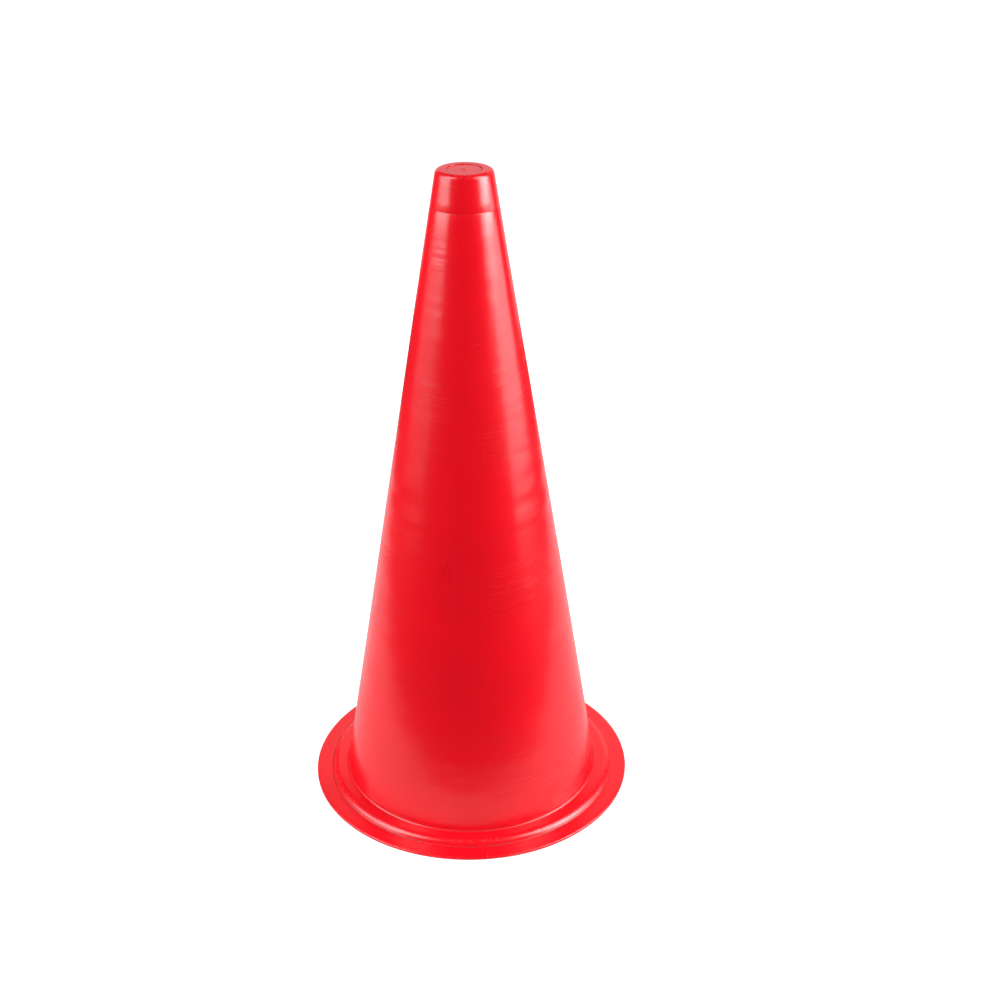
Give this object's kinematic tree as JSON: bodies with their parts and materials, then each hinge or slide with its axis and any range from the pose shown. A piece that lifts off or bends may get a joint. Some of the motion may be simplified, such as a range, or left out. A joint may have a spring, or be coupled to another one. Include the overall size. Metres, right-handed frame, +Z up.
{
  "type": "traffic cone",
  "caption": "Hollow, stackable marker cone with a straight tapered body, a round flanged foot with a raised ledge, and a closed crown.",
  "frame": {"origin": "centre of the underside of the foot, on the surface that the cone stands on", "axes": "+Z up along the cone's axis, towards the crown; the cone is round, so +X and +Y are free"},
  "size_m": [0.23, 0.23, 0.45],
  "materials": {
    "body_plastic": "semi-gloss moulded polyethylene, signal red",
    "foot_plastic": "semi-gloss moulded polyethylene, signal red",
    "crown_plastic": "semi-gloss moulded polyethylene, signal red"
  },
  "bodies": {
    "root": {"cone_body": "body_plastic", "base_ring": "foot_plastic", "crown_cap": "crown_plastic"}
  },
  "joints": []
}
